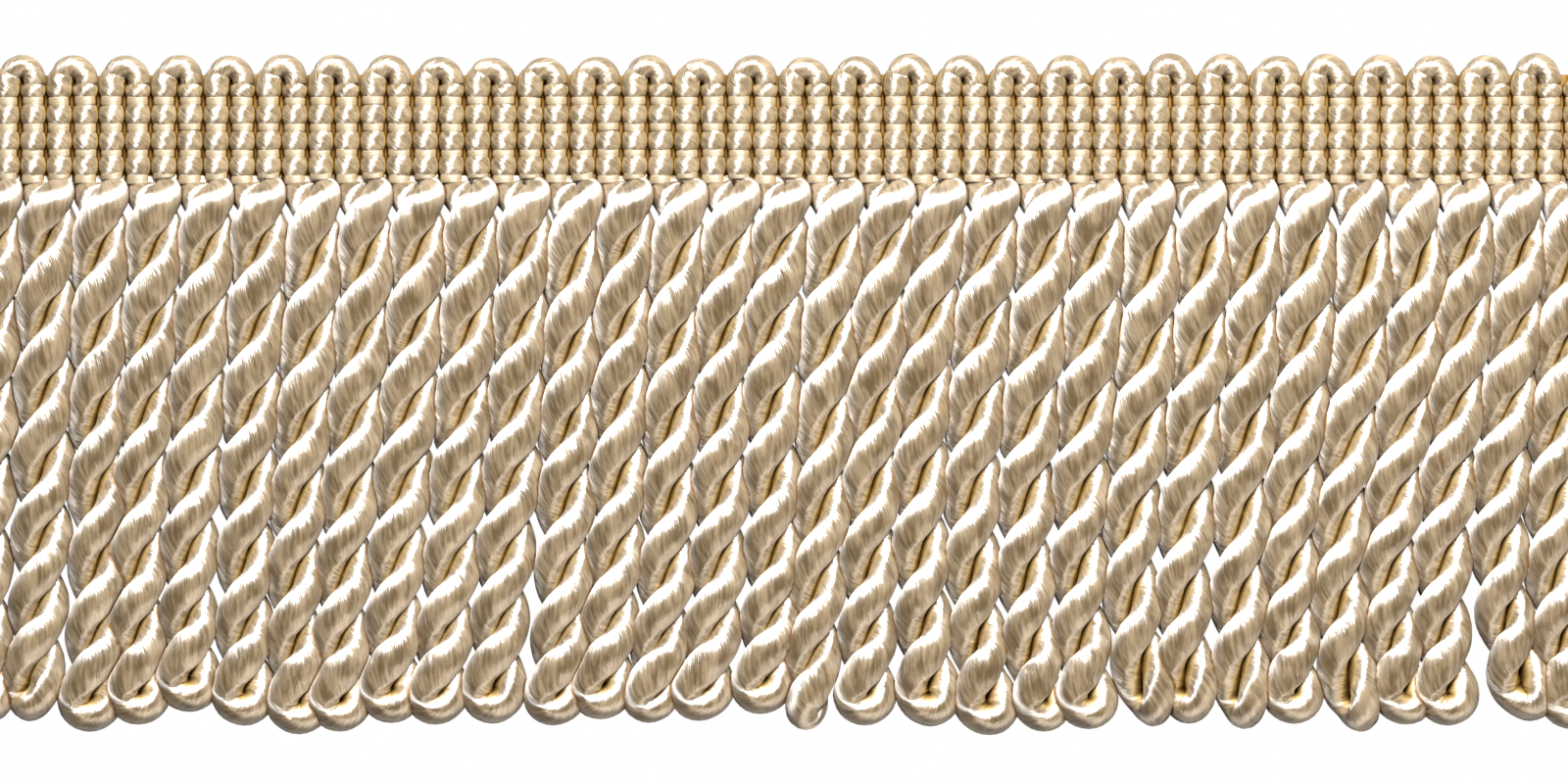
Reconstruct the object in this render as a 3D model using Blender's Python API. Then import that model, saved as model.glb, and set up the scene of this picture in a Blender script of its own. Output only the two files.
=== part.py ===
"""Bullion fringe: a cut length of furnishing trimming that lies face up on a flat surface.

One satin cord runs through the whole trimming. It rises through the heading, turns over in a
loop along the top edge, goes down through the heading again and hangs below it in a long bight
that is twisted on itself: a bullion. Four rows of chain stitch bind the heading.

Frame: +X along the trimming, +Y from the bullions towards the heading, +Z out of the face. The
origin is the middle of the heading's flat back.
"""

import math
from typing import NamedTuple

import bmesh
import bpy

MM = 0.001

# The repeat: one bullion takes two ribs of the heading.
PITCH = 5.9 * MM
RIB = PITCH / 2

# The heading, measured up from its foot, where the bullions leave it.
HEADING_HEIGHT = 14.6 * MM
FOOT_Y = -HEADING_HEIGHT / 2
FOOT_BAND = 1.4 * MM
FOOT_THICKNESS = 2.0 * MM
PARTING = 0.3 * MM
SEAM_THICKNESS = 0.9 * MM
SHOULDER = 0.26 * RIB

# The bullions. Girth is the furthest that a ply's corner reaches from the bullion's middle.
GIRTH = 2.76 * MM
NEIGHBOUR_GAP = 0.3 * MM
ROOT_INSIDE = 0.7 * MM
ROOT_BLEND = 5.0 * MM
STEPS_PER_HALF_TURN = 2.8
TIP_DROP = 3.4 * MM
TIGHTENING = 0.12

# Finishes: linear colour and roughness.
CORD_COLOUR = (0.66, 0.55, 0.37, 1.0)
BINDING_COLOUR = (0.62, 0.49, 0.29, 1.0)
SATIN_ROUGHNESS = 0.38


class Corner(NamedTuple):
    """One corner of the outline across a bullion, in shares of its girth."""

    across: float
    through: float
    root_across: float
    root_through: float


# Half of the ply on the right. The rest of the outline mirrors it.
PLY_CORNERS = (
    # across, through, root_across, root_through
    Corner(1.00, 0.00, 0.90, 0.00),
    Corner(0.51, 0.54, 0.47, 0.31),
    Corner(0.00, 0.22, 0.00, 0.17),
)


class TipRing(NamedTuple):
    """One ring round the end loop, past its eye."""

    drop: float  # share of the end loop's length
    width: float  # share of the girth
    thickness: float


TIP_RINGS = (
    # drop, width, thickness
    TipRing(0.60, 0.80, 0.85),
    TipRing(1.00, 0.36, 0.50),
)


class Bullion(NamedTuple):
    """How one bullion lies. The first four are millimetres to the right of its even place."""

    root: float
    third: float
    two_thirds: float
    eye: float
    first_slit: float  # millimetres below the foot where the plies first lie side by side
    depth: float  # millimetres below the foot of the eye in the end loop
    half_turns: float  # from the foot to the eye


BULLIONS = (
    # root, third, two_thirds, eye, first_slit, depth, half_turns
    Bullion(0.0, -0.3, -0.6, -1.0, 8.2, 57.2, 7.0),
    Bullion(0.1, 0.2, 0.1, -1.5, 6.3, 56.9, 7.4),
    Bullion(0.2, 0.2, 0.5, -0.7, 7.9, 58.1, 7.1),
    Bullion(0.3, 0.0, -0.7, -1.3, 7.4, 57.3, 7.0),
    Bullion(0.3, -0.2, -0.9, -1.5, 7.9, 55.9, 7.1),
    Bullion(0.3, 0.1, -0.4, -1.2, 7.2, 57.4, 7.1),
    Bullion(0.4, 0.3, -0.7, -1.0, 9.1, 58.4, 7.0),
    Bullion(0.4, 0.2, -1.0, -2.2, 8.7, 58.1, 7.0),
    Bullion(0.4, 0.2, -0.9, -2.3, 7.7, 57.1, 7.1),
    Bullion(0.6, 0.4, -0.6, -3.0, 7.6, 57.3, 7.0),
    Bullion(0.7, 0.4, -0.6, -2.6, 7.5, 57.2, 7.2),
    Bullion(0.5, 0.2, 0.1, -1.5, 9.9, 57.4, 7.0),
    Bullion(0.5, 0.2, -0.1, -2.1, 6.8, 56.7, 7.1),
    Bullion(0.7, 0.0, -0.1, -2.4, 9.1, 57.1, 6.9),
    Bullion(0.9, -0.3, -0.3, -2.6, 8.3, 56.9, 7.0),
    Bullion(0.7, -0.7, -0.2, -1.7, 7.7, 56.1, 7.1),
    Bullion(0.6, -0.1, -0.8, -2.6, 8.4, 57.9, 6.7),
    Bullion(0.7, -0.5, -1.0, -2.0, 7.0, 57.4, 7.0),
    Bullion(0.7, -1.0, -1.3, -0.8, 6.3, 57.5, 7.2),
    Bullion(0.5, -1.0, -1.4, -0.2, 7.6, 58.5, 7.1),
    Bullion(0.3, -0.4, -1.3, 0.0, 7.9, 58.1, 6.9),
    Bullion(0.0, -0.3, -1.1, -0.7, 7.6, 57.8, 7.0),
    Bullion(-0.2, 0.3, -1.1, 0.3, 9.2, 57.5, 6.5),
    Bullion(-0.3, 0.4, -0.9, -1.2, 8.7, 57.2, 6.4),
    Bullion(-0.2, 0.2, -0.6, -0.8, 8.3, 57.8, 6.5),
    Bullion(0.0, 0.1, -0.8, -1.1, 8.4, 57.2, 7.0),
    Bullion(-0.2, 0.7, -1.2, 0.0, 9.9, 58.1, 6.5),
    Bullion(-0.2, 0.7, -1.3, -0.6, 9.7, 57.3, 7.0),
    Bullion(0.1, 0.2, -1.3, -1.5, 7.0, 57.4, 7.1),
    Bullion(0.0, 0.3, -1.0, 1.3, 7.8, 56.9, 7.3),
    Bullion(0.0, -0.3, -0.8, 0.5, 9.6, 57.8, 7.0),
)
LENGTH = len(BULLIONS) * PITCH


class Row(NamedTuple):
    """One row of points across the heading, in millimetres."""

    height: float  # above the parting from the foot band
    rib: float  # how thick the ribs are there
    arch: float  # how far the middle of a loop rises above that height


HEADING_ROWS = (
    # height, rib, arch
    Row(0.0, 2.2, 0.0),
    Row(0.5, 2.6, 0.0),
    Row(1.1, 2.0, 0.0),
    Row(2.1, 2.0, 0.0),
    Row(3.1, 2.7, 0.0),
    Row(4.1, 2.0, 0.0),
    Row(5.1, 2.0, 0.0),
    Row(6.1, 2.7, 0.0),
    Row(7.0, 2.0, 0.0),
    Row(8.0, 2.0, 0.0),
    Row(9.6, 2.6, 0.0),
    Row(10.3, 2.3, 1.4),
    Row(10.7, 1.2, 2.2),
)


def start_afresh() -> None:
    """Empties the scene."""
    for obj in list(bpy.data.objects):
        bpy.data.objects.remove(obj, do_unlink=True)


def satin(name: str, colour: tuple[float, ...]) -> bpy.types.Material:
    """A satin yarn finish of one colour."""
    material = bpy.data.materials.new(name)
    material.use_nodes = True
    shader = material.node_tree.nodes["Principled BSDF"]
    shader.inputs["Base Color"].default_value = colour
    shader.inputs["Roughness"].default_value = SATIN_ROUGHNESS
    material.diffuse_color = colour
    return material


def object_of(name: str, bm: bmesh.types.BMesh, material: bpy.types.Material) -> bpy.types.Object:
    """Turns a finished bmesh into a named object with its faces pointing out."""
    bmesh.ops.recalc_face_normals(bm, faces=bm.faces)
    mesh = bpy.data.meshes.new(name)
    bm.to_mesh(mesh)
    bm.free()
    mesh.materials.append(material)
    obj = bpy.data.objects.new(name, mesh)
    bpy.context.scene.collection.objects.link(obj)
    return obj


def even_place(index: int) -> float:
    """X of the middle of a bullion's two ribs if all were spaced evenly."""
    return (index - (len(BULLIONS) - 1) / 2) * PITCH


def middle_x(index: int, depth: float) -> float:
    """X of a bullion's middle at a depth below the foot: one cubic through its four places."""
    bullion = BULLIONS[index]
    share = depth / (bullion.depth * MM)
    places = (bullion.root, bullion.third, bullion.two_thirds, bullion.eye)
    knots = (0.0, 1 / 3, 2 / 3, 1.0)
    total = 0.0
    for here, place in zip(knots, places):
        weight = math.prod((share - other) / (here - other) for other in knots if other != here)
        total += weight * place
    return even_place(index) + total * MM


def depth_at(bullion: Bullion, half_turns: float) -> float:
    """Depth below the foot where the twist has come so far. It tightens towards the end loop."""
    first = bullion.first_slit * MM
    if half_turns <= 1:
        return first * half_turns
    share = (half_turns - 1) / (bullion.half_turns - 1)
    eased = share + TIGHTENING * share * (1 - share)
    return first + (bullion.depth * MM - first) * eased


def girth_at(index: int, depth: float) -> float:
    """Half the room that a bullion has there: the full girth, or less where a neighbour presses."""
    here = middle_x(index, depth)
    sides = [middle_x(n, depth) for n in (index - 1, index + 1) if 0 <= n < len(BULLIONS)]
    room = min(abs(here - side) for side in sides)
    return min(GIRTH, (room - NEIGHBOUR_GAP) / 2)


def section_at(index: int, depth: float) -> list[tuple[float, float]]:
    """The outline across a bullion: two plies of four sides that meet in a groove on each side."""
    girth = girth_at(index, depth)
    grown = min(1.0, max(0.0, depth / ROOT_BLEND))
    quarter = []
    for corner in PLY_CORNERS:
        across = corner.root_across + (corner.across - corner.root_across) * grown
        through = corner.root_through + (corner.through - corner.root_through) * grown
        quarter.append((across * girth, through * girth))
    upper = quarter + [(-across, through) for across, through in reversed(quarter[:-1])]
    lower = [(across, -through) for across, through in reversed(upper[1:-1])]
    return upper + lower


def bullion_rings(index: int) -> list[list[tuple[float, float, float]]]:
    """Rings of points down one bullion, from inside the foot band to the end of its loop."""
    bullion = BULLIONS[index]
    stations = [(-ROOT_INSIDE, 0.0, 1.0, 1.0)]
    steps = round(bullion.half_turns * STEPS_PER_HALF_TURN)
    for step in range(1, steps + 1):
        half_turns = bullion.half_turns * step / steps
        stations.append((depth_at(bullion, half_turns), half_turns, 1.0, 1.0))
    for tip in TIP_RINGS:
        depth = bullion.depth * MM + tip.drop * TIP_DROP
        stations.append((depth, bullion.half_turns, tip.width, tip.thickness))
    rings = []
    for depth, half_turns, width, thickness in stations:
        turn = math.pi * half_turns
        offsets = []
        for across, through in section_at(index, depth):
            u, v = across * width, through * thickness
            x = u * math.cos(turn) - v * math.sin(turn)
            z = u * math.sin(turn) + v * math.cos(turn)
            offsets.append((x, z))
        # Past the root a bullion lies on the surface, and none of it reaches below that.
        rise = min(1.0, max(0.0, depth / ROOT_BLEND))
        lifted = FOOT_THICKNESS / 2 + (GIRTH - FOOT_THICKNESS / 2) * rise
        middle_z = max(lifted, -min(z for _, z in offsets))
        middle = middle_x(index, depth)
        rings.append([(middle + x, FOOT_Y - depth, middle_z + z) for x, z in offsets])
    return rings


def loft(bm: bmesh.types.BMesh, rings: list[list[tuple[float, float, float]]]) -> None:
    """Skins closed rings with triangles whose diagonals lie on the outer side, and caps the ends."""
    rows = [[bm.verts.new(point) for point in ring] for ring in rings]
    count = len(rings[0])
    for upper, lower in zip(rows, rows[1:]):
        axis = sum((v.co for v in upper + lower), start=upper[0].co * 0) / (2 * count)
        for i in range(count):
            j = (i + 1) % count
            falling = ((upper[i].co + lower[j].co) / 2 - axis).length
            rising = ((upper[j].co + lower[i].co) / 2 - axis).length
            if falling > rising:
                bm.faces.new((upper[i], upper[j], lower[j]))
                bm.faces.new((upper[i], lower[j], lower[i]))
            else:
                bm.faces.new((upper[i], upper[j], lower[i]))
                bm.faces.new((upper[j], lower[j], lower[i]))
    bm.faces.new(rows[0])
    bm.faces.new(rows[-1])


def make_skirt(material: bpy.types.Material) -> None:
    """The foot band with every bullion growing from its lower edge, fused as one solid."""
    bm = bmesh.new()
    for index in range(len(BULLIONS)):
        loft(bm, bullion_rings(index))
    ropes = object_of("bullion_ropes", bm, material)
    ropes.hide_render = True
    ropes.display_type = "WIRE"

    bm = bmesh.new()
    bmesh.ops.create_cube(bm, size=1.0)
    bmesh.ops.scale(bm, vec=(LENGTH, FOOT_BAND, FOOT_THICKNESS), verts=bm.verts)
    place = (0.0, FOOT_Y + FOOT_BAND / 2, FOOT_THICKNESS / 2)
    bmesh.ops.translate(bm, vec=place, verts=bm.verts)
    skirt = object_of("bullion_skirt", bm, material)
    fuse = skirt.modifiers.new("roots", "BOOLEAN")
    fuse.operation = "UNION"
    fuse.object = ropes


class RibPoint(NamedTuple):
    """One place along the heading."""

    x: float
    from_loop: float  # share of the way from the middle of a loop to its side
    seam: bool


def rib_points() -> list[RibPoint]:
    """Places along the heading: each rib's seam and its two shoulders."""
    points = []
    for rib in range(2 * len(BULLIONS)):
        start = rib * RIB - LENGTH / 2
        loop_on_right = rib % 2 == 1
        for offset in (0.0, SHOULDER, RIB - SHOULDER):
            from_loop = (RIB - offset if loop_on_right else offset) / RIB
            points.append(RibPoint(start + offset, from_loop, offset == 0.0))
    points.append(RibPoint(LENGTH / 2, 1.0, True))
    return points


def make_heading(material: bpy.types.Material) -> None:
    """The ribbed band with its looped top edge and its flat back, as one solid."""
    bm = bmesh.new()
    rows = []
    for row in HEADING_ROWS:
        verts = []
        for point in rib_points():
            # The first rib and the last one have no loop.
            looped = abs(point.x) < LENGTH / 2 - RIB + SHOULDER / 2
            lift = row.arch * MM * math.sqrt(1 - point.from_loop**2) if looped else 0.0
            thick = SEAM_THICKNESS if point.seam and not lift else row.rib * MM
            y = FOOT_Y + FOOT_BAND + PARTING + row.height * MM + lift
            verts.append(bm.verts.new((point.x, y, thick)))
        rows.append(verts)
    back_foot = [bm.verts.new((v.co.x, v.co.y, 0.0)) for v in rows[0]]
    back_top = [bm.verts.new((v.co.x, v.co.y, 0.0)) for v in rows[-1]]
    grid = [back_foot, *rows, back_top]
    for lower, upper in zip(grid, grid[1:]):
        for i in range(len(lower) - 1):
            bm.faces.new((lower[i], lower[i + 1], upper[i + 1], upper[i]))
    for i in range(len(back_foot) - 1):
        bm.faces.new((back_top[i], back_top[i + 1], back_foot[i + 1], back_foot[i]))
    bm.faces.new([row[0] for row in grid])
    bm.faces.new([row[-1] for row in reversed(grid)])
    object_of("heading", bm, material)


def main() -> None:
    """Builds the fringe."""
    start_afresh()
    cord = satin("satin_cord", CORD_COLOUR)
    binding = satin("binding_yarn", BINDING_COLOUR)
    make_skirt(cord)
    make_heading(binding)


main()
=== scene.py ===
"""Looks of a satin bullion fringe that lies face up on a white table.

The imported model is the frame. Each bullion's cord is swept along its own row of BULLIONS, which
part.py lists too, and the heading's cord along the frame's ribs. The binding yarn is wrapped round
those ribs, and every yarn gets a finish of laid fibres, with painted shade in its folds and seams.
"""

import logging
import math
from collections.abc import Sequence
from dataclasses import dataclass, field, replace
from enum import Enum
from typing import NamedTuple

import bmesh
import bpy
import numpy as np
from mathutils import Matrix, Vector
from mathutils.bvhtree import BVHTree

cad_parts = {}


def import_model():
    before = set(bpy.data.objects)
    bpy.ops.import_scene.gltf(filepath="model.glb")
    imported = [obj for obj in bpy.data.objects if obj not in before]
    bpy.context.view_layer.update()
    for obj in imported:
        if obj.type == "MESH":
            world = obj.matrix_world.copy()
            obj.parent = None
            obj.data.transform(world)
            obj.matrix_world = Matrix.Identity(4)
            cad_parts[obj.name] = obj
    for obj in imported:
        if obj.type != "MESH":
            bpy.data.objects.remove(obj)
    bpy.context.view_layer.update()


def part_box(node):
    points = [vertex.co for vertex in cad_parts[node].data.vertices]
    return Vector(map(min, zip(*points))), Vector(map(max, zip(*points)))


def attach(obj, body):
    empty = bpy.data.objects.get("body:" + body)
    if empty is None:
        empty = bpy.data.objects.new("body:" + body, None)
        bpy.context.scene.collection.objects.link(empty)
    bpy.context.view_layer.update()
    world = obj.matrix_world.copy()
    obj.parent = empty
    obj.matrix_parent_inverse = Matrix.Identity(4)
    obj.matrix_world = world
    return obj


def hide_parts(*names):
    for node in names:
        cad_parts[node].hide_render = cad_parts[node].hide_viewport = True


LOG = logging.getLogger("fringe")
MM = 0.001
BODY = "root"
FIBRE_UV = "fibres"
CORD_GIRTH = 11.0 * MM
HEADING_HEIGHT = 14.6 * MM

Array = np.ndarray
Socket = bpy.types.NodeSocket
NodeValue = Socket | float | int | str | Sequence[float]
Rgb = tuple[float, float, float]


class Slot(Enum):
    """The record's material slots."""

    CORD = "satin_cord"
    BINDING = "binding_yarn"


class Node(Enum):
    """The frame's nodes."""

    HEADING = "heading"
    SKIRT = "bullion_skirt"


class NodeTree:
    """A node tree under construction, with short calls that add nodes and join sockets."""

    def __init__(self, tree: bpy.types.NodeTree) -> None:
        """Wraps the tree that the nodes go into."""
        self.tree = tree

    def add(
        self, kind: str, values: dict[str | int, NodeValue] | None = None, **settings: object
    ) -> bpy.types.Node:
        """Adds a node, sets its properties and fills or links its inputs.

        Args:
            kind: Blender's name for the node's type.
            values: input name or number to a value, or to the output that feeds it.
            settings: the node's own properties.

        Returns:
            The new node.
        """
        node = self.tree.nodes.new(kind)
        for name, setting in settings.items():
            setattr(node, name, setting)
        for key, value in (values or {}).items():
            if isinstance(key, str):
                socket = next(s for s in node.inputs if s.name == key and s.enabled)
            else:
                socket = node.inputs[key]
            self.feed(socket, value)
        return node

    def feed(self, socket: Socket, value: NodeValue) -> None:
        """Links an output to an input, or sets the input's own value.

        Args:
            socket: the input.
            value: the output or the value.
        """
        if isinstance(value, Socket):
            self.tree.links.new(value, socket)
        else:
            socket.default_value = value

    def math(self, operation: str, *values: NodeValue) -> Socket:
        """Adds a Math node and returns its output."""
        return self.add("ShaderNodeMath", dict(enumerate(values)), operation=operation).outputs[0]

    def vector_math(self, operation: str, *values: NodeValue) -> Socket:
        """Adds a Vector Math node and returns its vector."""
        node = self.add("ShaderNodeVectorMath", dict(enumerate(values)), operation=operation)
        return node.outputs["Vector"]

    def scaled(self, vector: NodeValue, factor: NodeValue) -> Socket:
        """Adds a Vector Math node that scales a vector and returns its output."""
        values = {"Vector": vector, "Scale": factor}
        return self.add("ShaderNodeVectorMath", values, operation="SCALE").outputs["Vector"]

    def smooth_step(self, value: NodeValue, start: NodeValue, end: NodeValue) -> Socket:
        """Adds a Map Range node that goes smoothly from 0 at start to 1 at end."""
        values = {"Value": value, "From Min": start, "From Max": end}
        return self.add("ShaderNodeMapRange", values, interpolation_type="SMOOTHSTEP").outputs["Result"]

    def signed_power(self, value: NodeValue, exponent: float) -> Socket:
        """Raises a value's size to a power and keeps its sign."""
        size = self.math("POWER", self.math("ABSOLUTE", value), exponent)
        return self.math("MULTIPLY", self.math("SIGN", value), size)

    def random_vector(self, low: NodeValue, high: NodeValue, seed: NodeValue) -> Socket:
        """Adds a random vector between two others for every point."""
        ends = {0: low, 1: high, "Seed": seed}
        return self.add("FunctionNodeRandomValue", ends, data_type="FLOAT_VECTOR").outputs[0]

    def store(self, geometry: Socket, name: str, value: NodeValue, kind: str = "FLOAT") -> Socket:
        """Stores an attribute on points.

        Args:
            geometry: what the attribute is stored on.
            name: the attribute's name.
            value: its value.
            kind: its data type.

        Returns:
            The geometry with the attribute.
        """
        values = {"Geometry": geometry, "Name": name, "Value": value}
        node = self.add("GeometryNodeStoreNamedAttribute", values, data_type=kind, domain="POINT")
        return node.outputs["Geometry"]

    def read(self, name: str, kind: str = "FLOAT") -> Socket:
        """Reads a named attribute of a data type."""
        node = self.add("GeometryNodeInputNamedAttribute", {"Name": name}, data_type=kind)
        return node.outputs["Attribute"]

    def moved(self, geometry: Socket, key: str, where: Socket) -> Socket:
        """Moves points to a Position or by an Offset, as the key says."""
        return self.add("GeometryNodeSetPosition", {"Geometry": geometry, key: where}).outputs[0]

    def tube(self, curve: Socket, sides: NodeValue) -> tuple[Socket, Socket]:
        """Sweeps a ring along a curve and stores each point's turn round the ring.

        Args:
            curve: the curve.
            sides: how many points the ring has.

        Returns:
            The mesh, and each point's angle in the ring, which starts at a quarter turn below 0.
        """
        circle = {"Resolution": sides, "Radius": 1.0}
        ring = self.add("GeometryNodeCurvePrimitiveCircle", circle).outputs["Curve"]
        index = self.add("GeometryNodeInputIndex").outputs[0]
        ring = self.store(ring, "turn", self.math("DIVIDE", index, sides))
        swept = {"Curve": curve, "Profile Curve": ring, "Fill Caps": True}
        mesh = self.add("GeometryNodeCurveToMesh", swept).outputs["Mesh"]
        return mesh, self.math("MULTIPLY_ADD", self.read("turn"), 2 * math.pi, -math.pi / 2)

    def hand_over(self, name: str, geometry: Socket, finish: Socket) -> None:
        """Makes a geometry real, gives it its finish and sends it to the tree's output.

        Args:
            name: the output's name.
            geometry: the geometry.
            finish: the material.
        """
        real = self.add("GeometryNodeRealizeInstances", {"Geometry": geometry}).outputs["Geometry"]
        dressed = self.add("GeometryNodeSetMaterial", {"Geometry": real, "Material": finish})
        self.add("NodeGroupOutput", {name: dressed.outputs["Geometry"]})


def new_group(
    name: str, kind: str, inputs: dict[str, str], outputs: dict[str, str]
) -> bpy.types.NodeTree:
    """Makes an empty node group.

    Args:
        name: its name.
        kind: Blender's name for the kind of tree.
        inputs: its inputs' names and kinds of socket.
        outputs: the same for its outputs.

    Returns:
        The group.
    """
    group = bpy.data.node_groups.new(name, kind)
    for in_out, sockets in (("INPUT", inputs), ("OUTPUT", outputs)):
        for label, socket in sockets.items():
            group.interface.new_socket(label, in_out=in_out, socket_type="NodeSocket" + socket)
    return group


def placed(name: str, data: bpy.types.ID) -> bpy.types.Object:
    """Puts data into the scene as a new object at the origin."""
    thing = bpy.data.objects.new(name, data)
    bpy.context.scene.collection.objects.link(thing)
    return thing


def numbers(items: bpy.types.bpy_prop_collection, key: str, kind: type = np.float32, width: int = 1) -> Array:
    """Reads one property of all items into one flat array.

    Args:
        items: the items.
        key: the property.
        kind: its type.
        width: how many numbers it has for each item.

    Returns:
        The numbers.
    """
    values = np.zeros(width * len(items), kind)
    items.foreach_get(key, values)
    return values


def realised(
    name: str, base: bpy.types.Mesh, group: bpy.types.NodeTree, values: dict[str, object]
) -> bpy.types.Object:
    """Runs a Geometry Nodes tree on a mesh and keeps the result as a plain mesh.

    Args:
        name: the piece's name.
        base: what the tree starts from.
        group: the tree.
        values: the tree's inputs by name.

    Returns:
        An object at the origin with the finished mesh and no modifier.
    """
    maker = placed(name + "_maker", base)
    modifier = maker.modifiers.new("make", "NODES")
    modifier.node_group = group
    for socket in group.interface.items_tree:
        if socket.name in values:
            modifier[socket.identifier] = values[socket.name]
    depsgraph = bpy.context.evaluated_depsgraph_get()
    mesh = bpy.data.meshes.new_from_object(
        maker.evaluated_get(depsgraph), preserve_all_data_layers=True, depsgraph=depsgraph
    )
    bpy.data.objects.remove(maker, do_unlink=True)
    bpy.data.meshes.remove(base)
    mesh.name = name
    face_outwards(mesh)
    lay_fibres(mesh)
    return placed(name, mesh)


def face_outwards(mesh: bpy.types.Mesh) -> None:
    """Turns a closed mesh's faces outwards.

    Args:
        mesh: the mesh, changed in place.
    """
    bm = bmesh.new()
    bm.from_mesh(mesh)
    bmesh.ops.recalc_face_normals(bm, faces=bm.faces)
    bm.to_mesh(mesh)
    bm.free()


def lay_fibres(mesh: bpy.types.Mesh) -> None:
    """Makes the UV map that the fibres follow: metres along a cord and metres round it.

    Args:
        mesh: a mesh with the point attributes along and turn.
    """
    along = numbers(mesh.attributes["along"].data, "value")
    turn = numbers(mesh.attributes["turn"].data, "value")
    corners_at = numbers(mesh.loops, "vertex_index", np.int32)
    starts = numbers(mesh.polygons, "loop_start", np.int32)
    sizes = np.diff(np.append(starts, len(corners_at)))
    across = turn[corners_at]
    low = np.repeat(np.minimum.reduceat(across, starts), sizes)
    high = np.repeat(np.maximum.reduceat(across, starts), sizes)
    # A face that closes the ring goes on past 1 instead of back to 0.
    across = np.where((high - low > 0.5) & (across < 0.5), across + 1.0, across)
    layer = mesh.uv_layers.new(name=FIBRE_UV)
    pairs = np.stack([along[corners_at], across * CORD_GIRTH], axis=1)
    layer.data.foreach_set("uv", pairs.astype(np.float32).ravel())


@dataclass
class CordPath:
    """A cord's middle line, with its section and its creases at every point."""

    centre: Array
    wide: Array  # half of the section across, as a vector
    deep: Array  # half of the section through, as a vector; on a ply it points away from its sister
    # crease_in and crease_out set how much painted shade each side gets in its fold.
    crease_in: Array | float = 0.0  # how deep a fold the inner side lies in, from 0 to 1
    crease_out: Array | float = 0.0
    inward: Array | float = 1.0  # the section's depth on its inner side, as a share of its outer depth
    start: float = 0.0  # where the fibre pattern starts, in metres
    crown: float = 1.0  # the outer side's shape: 1 is an oval, 2 is a parabola
    inner_crown: Array | float = 1.0  # the same for the inner side
    crease_from: float = 0.3  # how far down a side its fold starts, from 0 at the top to 1


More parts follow.
